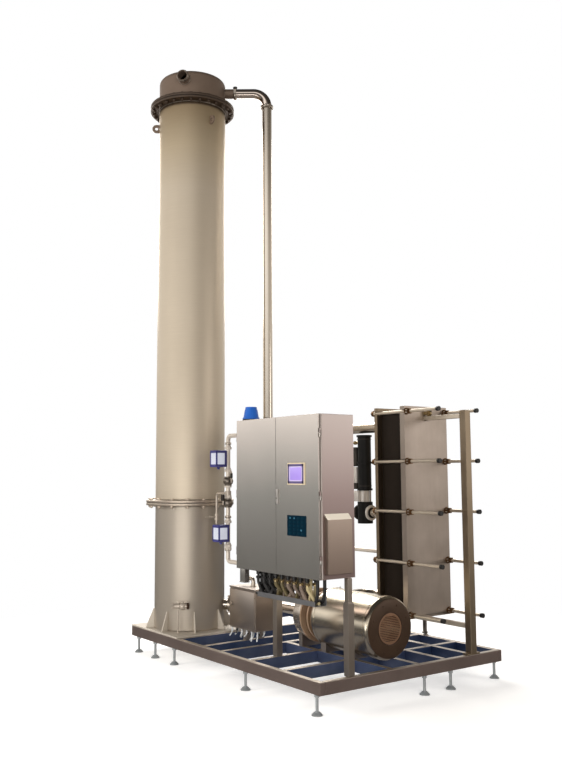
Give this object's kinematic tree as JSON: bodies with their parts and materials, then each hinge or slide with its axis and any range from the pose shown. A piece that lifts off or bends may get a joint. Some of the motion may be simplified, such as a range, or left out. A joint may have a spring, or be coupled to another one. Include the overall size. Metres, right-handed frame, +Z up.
{
  "type": "water deaerator",
  "caption": "Skid-mounted water deaerator: tall flanged stripping column, plate heat exchanger, shrouded pump, metering line and a control cabinet with hinged doors on one steel frame.",
  "frame": {"origin": "middle of the skid frame, on the floor that its feet stand on", "axes": "+X along the frame from the column to the heat exchanger's end post, +Y from the cabinet doors to the back, +Z up"},
  "size_m": [3.196, 2.0958, 6.109],
  "materials": {
    "frame_steel": "satin",
    "stainless": "satin",
    "polished": "polished",
    "gasket": "matt",
    "grille": "matt",
    "plates": "satin",
    "rods": "satin",
    "black_plastic": "satin",
    "blue_plastic": "gloss",
    "cabinet_steel": "brushed",
    "display": "gloss",
    "keys": "gloss",
    "beacon_blue": "gloss"
  },
  "bodies": {
    "root": {"long_beams": "frame_steel", "end_beams": "frame_steel", "cross_beams": "frame_steel", "stringers": "frame_steel", "skid_feet": "polished", "column_base": "stainless", "column_gussets": "stainless", "lower_shell": "stainless", "middle_flanges": "stainless", "upper_shell": "stainless", "top_flanges": "stainless", "flange_gaskets": "gasket", "column_cap": "stainless", "vent_nozzle": "stainless", "cap_outlet": "polished", "lifting_lugs": "stainless", "riser_elbow": "polished", "riser_pipe": "polished", "pipe_clamps": "polished", "column_outlet": "polished", "suction_line": "polished", "discharge_line": "polished", "pump_casing": "polished", "pump_adapter": "stainless", "motor_shroud": "polished", "fan_grille": "grille", "pump_cradles": "frame_steel", "gas_box": "cabinet_steel", "gas_box_stand": "frame_steel", "frame_plate": "stainless", "plate_pack": "plates", "pressure_plate": "stainless", "tie_rods": "rods", "rod_caps": "black_plastic", "plate_bars": "stainless", "end_post": "stainless", "plate_feet": "frame_steel", "metering_line": "polished", "flow_meters": "blue_plastic", "valve_branch": "polished", "control_valve": "black_plastic", "cabinet_back": "cabinet_steel", "cabinet_sides": "cabinet_steel", "cabinet_roof": "cabinet_steel", "cabinet_floor": "cabinet_steel", "mounting_plate": "stainless", "side_cover": "cabinet_steel", "beacon_base": "black_plastic", "beacon_lens": "beacon_blue", "cabinet_posts": "frame_steel", "plate_roller": "rods", "small_valves": "polished", "cable_glands": "black_plastic", "cable_tray": "stainless"},
    "left_leaf": {"left_door": "cabinet_steel"},
    "right_leaf": {"right_door": "cabinet_steel", "door_handle": "black_plastic", "operator_display": "display", "key_panel": "keys"}
  },
  "joints": [
    {"name": "left_door_hinge", "type": "hinge", "parent": "root", "child": "left_leaf", "pos_m": [0.373, -0.989, 1.6475], "axis": [0, 0, -1], "range_deg": [0, 110]},
    {"name": "right_door_hinge", "type": "hinge", "parent": "root", "child": "right_leaf", "pos_m": [1.558, -0.989, 1.6475], "axis": [0, 0, 1], "range_deg": [0, 110]}
  ]
}
